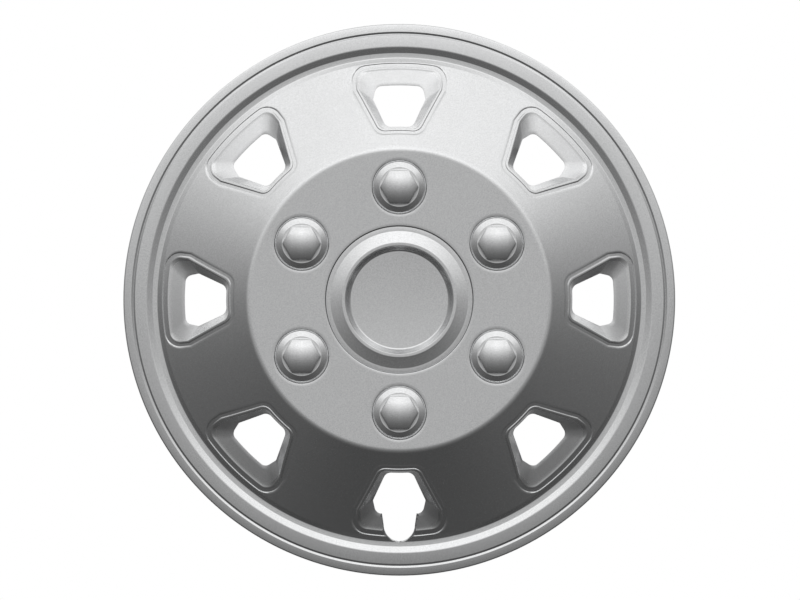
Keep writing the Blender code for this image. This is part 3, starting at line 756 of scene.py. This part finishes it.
class Nodes:
    """A node tree being put together."""

    def __init__(self, tree):
        self.tree = tree

    def add(self, kind, inputs=(), **settings):
        """Add a node; inputs pairs an input with a constant or with another node's output."""
        node = self.tree.nodes.new(kind)
        for key, value in settings.items():
            setattr(node, key, value)
        for key, value in inputs:
            if isinstance(value, bpy.types.NodeSocket):
                self.tree.links.new(value, node.inputs[key])
            else:
                node.inputs[key].default_value = value
        return node

    def math(self, operation, first, second):
        return self.add("ShaderNodeMath", ((0, first), (1, second)), operation=operation).outputs[0]

    def times(self, first, second):
        return self.math("MULTIPLY", first, second)

    def plus(self, first, second):
        return self.math("ADD", first, second)

    def mix(self, share, first, second):
        """A blend of two colours."""
        inputs = ((0, share), (6, first), (7, second))
        return self.add("ShaderNodeMix", inputs, data_type="RGBA").outputs[2]

    def stretch(self, value, low, high, to_low, to_high):
        """A value carried from one range to another, and held at its ends."""
        inputs = ((0, value), (1, low), (2, high), (3, to_low), (4, to_high))
        return self.add("ShaderNodeMapRange", inputs).outputs[0]

    def noise(self, vector, scale, detail, roughness=0.5):
        """Cloudy noise."""
        inputs = (("Vector", vector), ("Scale", scale), ("Detail", detail),
                  ("Roughness", roughness))
        return self.add("ShaderNodeTexNoise", inputs).outputs["Fac"]

    def streaks(self, vector, scale, detail, rotation=(0.0, 0.0, 0.0)):
        """Noise stretched along one direction by a different scale along each axis."""
        inputs = (("Vector", vector), ("Rotation", rotation), ("Scale", scale))
        return self.noise(self.add("ShaderNodeMapping", inputs).outputs[0], 1.0, detail)

    def bump(self, height, strength, distance):
        inputs = (("Height", height), ("Strength", strength), ("Distance", distance))
        return self.add("ShaderNodeBump", inputs).outputs[0]


def new_group(name, outputs):
    """A node group with a Vector input and the named outputs, as (nodes, vector, output node)."""
    tree = bpy.data.node_groups.new(name, "ShaderNodeTree")
    tree.interface.new_socket("Vector", in_out="INPUT", socket_type="NodeSocketVector")
    for output, kind in outputs:
        tree.interface.new_socket(output, in_out="OUTPUT", socket_type=kind)
    nodes = Nodes(tree)
    return nodes, nodes.add("NodeGroupInput").outputs["Vector"], nodes.add("NodeGroupOutput")


def soiling_group():
    """Faint dust and handling marks: Dust is soft and cloudy, Marks are thin, long scratches."""
    sockets = (("Dust", "NodeSocketFloat"), ("Marks", "NodeSocketFloat"))
    nodes, vector, out = new_group("soiling", sockets)
    cloud = nodes.noise(vector, 22.0, 6.0, 0.6)
    fine = nodes.noise(vector, 900.0, 3.0)
    dust = nodes.times(nodes.stretch(cloud, 0.45, 0.72, 0.0, 1.0), fine)
    line = nodes.streaks(vector, (30.0, 900.0, 30.0), 2.0, (0.3, 0.7, 0.2))
    marks = nodes.stretch(line, 0.70, 0.76, 0.0, 1.0)
    nodes.tree.links.new(dust, out.inputs["Dust"])
    nodes.tree.links.new(marks, out.inputs["Marks"])
    return nodes.tree


def flake_group():
    """Metallic lacquer: Sparkle is each flake's brightness, Peel the clear coat's gentle waves."""
    sockets = (("Sparkle", "NodeSocketFloat"), ("Peel", "NodeSocketFloat"))
    nodes, vector, out = new_group("flakes", sockets)
    cells = nodes.add("ShaderNodeTexVoronoi", (("Vector", vector), ("Scale", 2600.0)))
    flake = nodes.add("ShaderNodeSeparateColor", (("Color", cells.outputs["Color"]),))
    waves, swell = nodes.noise(vector, 420.0, 1.0), nodes.noise(vector, 45.0, 1.0)
    nodes.tree.links.new(flake.outputs[0], out.inputs["Sparkle"])
    nodes.tree.links.new(nodes.plus(nodes.times(waves, 0.35), swell), out.inputs["Peel"])
    return nodes.tree


def start_material(name):
    """A material as (material, nodes, object coordinates, shader, soiling node)."""
    made = bpy.data.materials.new(name)
    made.use_nodes = True
    nodes = Nodes(made.node_tree)
    place = nodes.add("ShaderNodeTexCoord").outputs["Object"]
    soiling = nodes.add("ShaderNodeGroup", node_tree=SOILING)
    nodes.tree.links.new(place, soiling.inputs[0])
    return made, nodes, place, nodes.tree.nodes["Principled BSDF"], soiling


def link_all(nodes, shader, sockets):
    """Link or set each of a shader's named sockets."""
    for name, value in sockets.items():
        if isinstance(value, bpy.types.NodeSocket):
            nodes.tree.links.new(value, shader.inputs[name])
        else:
            shader.inputs[name].default_value = value


PAINT_DARK = (0.72, 0.725, 0.73, 1)
PAINT_LIGHT = (0.86, 0.865, 0.87, 1)
BARE_PLASTIC = (0.20, 0.203, 0.207, 1)
DUST = (0.35, 0.34, 0.32, 1)
NYLON_DARK, NYLON_LIGHT = (0.018, 0.018, 0.019, 1), (0.06, 0.06, 0.062, 1)
ZINC_DULL, ZINC_BRIGHT = (0.42, 0.43, 0.45, 1), (0.72, 0.73, 0.74, 1)


def silver_paint():
    """Silver lacquer on the front, thinning to overspray and then bare moulded plastic behind."""
    made, nodes, place, shader, soiling = start_material("silver_paint")
    flakes = nodes.add("ShaderNodeGroup", node_tree=FLAKES)
    nodes.tree.links.new(place, flakes.inputs[0])
    coat = nodes.add("ShaderNodeAttribute", attribute_name="paint").outputs["Fac"]
    speckle = nodes.math("SUBTRACT", nodes.noise(place, 1400.0, 2.0), 0.5)
    mask = nodes.stretch(nodes.plus(coat, nodes.times(speckle, 0.7)), 0.35, 0.65, 0.0, 1.0)
    silver = nodes.mix(flakes.outputs["Sparkle"], PAINT_DARK, PAINT_LIGHT)
    body = nodes.mix(mask, BARE_PLASTIC, silver)
    rough = nodes.stretch(mask, 0.0, 1.0, 0.48, 0.15)
    rough = nodes.plus(rough, nodes.times(soiling.outputs["Dust"], 0.08))
    rough = nodes.plus(rough, nodes.times(soiling.outputs["Marks"], 0.03))
    rough = nodes.plus(rough, nodes.stretch(coat, THIN_COAT, 1.0, 0.17, 0.0))
    link_all(nodes, shader, {
        "Base Color": nodes.mix(nodes.times(soiling.outputs["Dust"], 0.10), body, DUST),
        "Metallic": nodes.times(mask, 0.98),
        "Roughness": rough,
        "Coat Weight": nodes.times(mask, 0.2),
        "Coat Roughness": 0.06,
        "Normal": nodes.bump(flakes.outputs["Peel"], 0.02, 0.0002),
    })
    return made


def black_nylon():
    """Glass-filled nylon: near black, with a fine moulded grain and pale fibre streaks."""
    made, nodes, place, shader, soiling = start_material("black_nylon")
    grain = nodes.noise(place, 1600.0, 4.0)
    fibre = nodes.streaks(place, (1500.0, 120.0, 1500.0), 3.0)
    colour = nodes.mix(nodes.stretch(fibre, 0.58, 0.75, 0.0, 0.5), NYLON_DARK, NYLON_LIGHT)
    link_all(nodes, shader, {
        "Base Color": nodes.mix(nodes.times(soiling.outputs["Dust"], 0.2), colour, DUST),
        "Roughness": nodes.stretch(grain, 0.3, 0.7, 0.38, 0.56),
        "Normal": nodes.bump(grain, 0.25, 0.0002),
    })
    return made


def spring_wire():
    """Zinc-plated wire: bright, with drawing lines along it and dull patches in the plating."""
    made, nodes, place, shader, soiling = start_material("spring_wire")
    patch = nodes.noise(place, 160.0, 5.0)
    drawn = nodes.streaks(place, (300.0, 4200.0, 300.0), 2.0)
    colour = nodes.mix(patch, ZINC_DULL, ZINC_BRIGHT)
    link_all(nodes, shader, {
        "Base Color": nodes.mix(nodes.times(soiling.outputs["Dust"], 0.15), colour, DUST),
        "Metallic": 1.0,
        "Roughness": nodes.stretch(patch, 0.3, 0.7, 0.2, 0.42),
        "Normal": nodes.bump(drawn, 0.2, 0.0001),
    })
    return made


# ---------------------------------------------------------------- light and camera

# The studio's light by the sine of its elevation, and how it fades towards either side.
SKY = ((-1.0, 0.075), (-0.87, 0.052), (-0.53, 0.125), (-0.326, 0.20), (-0.26, 0.23), (0.0, 0.40),
       (0.26, 0.658), (0.326, 0.73), (0.53, 0.95), (0.87, 0.86), (1.0, 0.44))
SIDE_FADE = ((0.0, 1.0), (0.53, 0.86), (0.87, 0.46), (1.0, 0.36))
PAINT_REFLECTS = 0.78
FLOOR_DROP, FLOOR_HALF = 0.0005, 3.0

# The camera: how much it takes in across the rim's front, its lens and sensor width in millimetres,
# how far it stands off the axis, and how far it sees.
FRAME_WIDTH = 0.6223
RIM_FRONT = 0.003
LENS, SENSOR = 600.0, 36.0
CAMERA_X, CAMERA_Z = 0.00056, -0.00019
FAR_END = 100.0


def light_ramp(nodes, value, stops):
    """A piecewise straight function of a value between -1 and 1, as a colour ramp."""
    share = nodes.stretch(value, -1.0, 1.0, 0.0, 1.0)
    node = nodes.add("ShaderNodeValToRGB", (("Fac", share),))
    ramp = node.color_ramp
    while len(ramp.elements) < len(stops):
        ramp.elements.new(0.5)
    for element, (place, level) in zip(ramp.elements, stops):
        element.position = (place + 1) / 2
        element.color = (level, level, level, 1)
    return node.outputs["Color"]


def studio():
    """A soft gradient all round that gives the reflections, over plain white for the camera."""
    world = bpy.data.worlds.new("studio")
    bpy.context.scene.world = world
    world.use_nodes = True
    nodes = Nodes(world.node_tree)
    way = nodes.add("ShaderNodeTexCoord").outputs["Generated"]
    parts = nodes.add("ShaderNodeSeparateXYZ", ((0, way),))
    height = light_ramp(nodes, parts.outputs["Z"], SKY)
    aside = light_ramp(nodes, nodes.math("ABSOLUTE", parts.outputs["X"], 0.0), SIDE_FADE)
    level = nodes.math("DIVIDE", nodes.times(height, aside), PAINT_REFLECTS)
    glow = nodes.tree.nodes["Background"]
    nodes.tree.links.new(level, glow.inputs["Color"])
    white = nodes.add("ShaderNodeBackground", (("Color", (1, 1, 1, 1)),))
    seen = nodes.add("ShaderNodeLightPath").outputs["Is Camera Ray"]
    choice = ((0, seen), (1, glow.outputs[0]), (2, white.outputs[0]))
    both = nodes.add("ShaderNodeMixShader", choice)
    nodes.tree.links.new(both.outputs[0], nodes.tree.nodes["World Output"].inputs["Surface"])


def white_floor():
    """A plain white floor under the cover that shows only to the camera."""
    mesh = bpy.data.meshes.new("floor")
    height = cad_low[2] - FLOOR_DROP
    signs = ((-1, -1), (1, -1), (1, 1), (-1, 1))
    corners = [(FLOOR_HALF * x, FLOOR_HALF * y, height) for x, y in signs]
    mesh.from_pydata(corners, [], [(0, 1, 2, 3)])
    made = bpy.data.materials.new("floor")
    made.use_nodes = True
    shader = made.node_tree.nodes["Principled BSDF"]
    shader.inputs["Base Color"].default_value = (0, 0, 0, 1)
    shader.inputs["Specular IOR Level"].default_value = 0.0
    shader.inputs["Emission Color"].default_value = (1, 1, 1, 1)
    shader.inputs["Emission Strength"].default_value = 1.0
    mesh.materials.append(made)
    floor = bpy.data.objects.new("floor", mesh)
    bpy.context.scene.collection.objects.link(floor)
    floor.visible_glossy = floor.visible_diffuse = floor.visible_shadow = False


def camera():
    """A long lens far in front, that looks along the axis from a hair below and right of it."""
    made = bpy.data.objects.new("camera", bpy.data.cameras.new("camera"))
    bpy.context.scene.collection.objects.link(made)
    bpy.context.scene.camera = made
    made.data.lens = LENS
    made.data.clip_end = FAR_END
    made.location = (CAMERA_X, -LENS / SENSOR * FRAME_WIDTH - RIM_FRONT, CAMERA_Z)
    made.rotation_euler = (np.pi / 2, 0, 0)


# ---------------------------------------------------------------- main

SOILING, FLAKES = soiling_group(), flake_group()
PAINT, NYLON, WIRE = silver_paint(), black_nylon(), spring_wire()


def face_piece(name, mesh):
    """Put in a part of the moulded face."""
    piece(name, mesh, "face", ["trim_face"], PAINT)


def add_face():
    """The moulded face: its painted skin, the ribs and clip pockets behind it, and the wire ring."""
    between_windows = [(i + 0.5) * 2 * SECTOR for i in range(WINDOW_COUNT)]
    face_piece("painted_face", cut(face_shell(), slot_cutter()))
    ribs = [rib(angle) for angle in between_windows]
    face_piece("cone_ribs", welded_mesh("cone_ribs", ribs))
    pockets = [pocket(angle) for angle in CLIP_ANGLES]
    face_piece("clip_pockets", welded_mesh("clip_pockets", pockets))
    ring = welded_mesh("wire_ring", [wire(BIG_RING, CRANK)])
    piece("wire_ring", ring, "face", ["retaining_ring"], WIRE)


def add_clips():
    for i, angle in enumerate(CLIP_ANGLES):
        name = f"{i + 1:02d}"
        finger = welded_mesh("clip_finger", [clip(angle)])
        nodes = [f"retaining_clip_{name}"]
        piece(f"clip_finger_{name}", finger, f"clip_{name}", nodes, NYLON)


def add_caps():
    """The centre cap with its wire ring, and the six nut caps."""
    rows_left = CAP_ROWS[:, 0].argmax() + CAP_COAT_ROWS - np.arange(len(CAP_ROWS))
    whole = welded_mesh("cap", [(turned(CAP_ROWS, ROUND), smooth(rows_left / CAP_COAT_FADE))])
    cap = cut(whole, leg_gaps((0.0, 0.0), CAP_GAPS))
    piece("round_centre_cap", cap, "centre_cap_body", ["centre_cap"], PAINT)
    ring = welded_mesh("cap_spring", [wire(CAP_RING, turns=180)])
    piece("cap_spring", ring, "centre_cap_body", ["centre_cap_spring_ring"], WIRE)
    for i in range(NUT_COUNT):
        number = i + 1
        centre = NUT_PITCH * np.array((np.cos(NUT_ANGLES[i]), np.sin(NUT_ANGLES[i])))
        cap = cut(welded_mesh("nut", [nut_cap(centre)]), leg_gaps(centre, NUT_GAPS))
        body, nodes = f"nut_cap_body_{number}", [f"nut_cap_{number}"]
        piece(f"hexagon_cap_{number}", cap, body, nodes, PAINT)


add_face()
add_caps()
add_clips()
bpy.context.scene.view_settings.view_transform = "Standard"
studio()
white_floor()
camera()
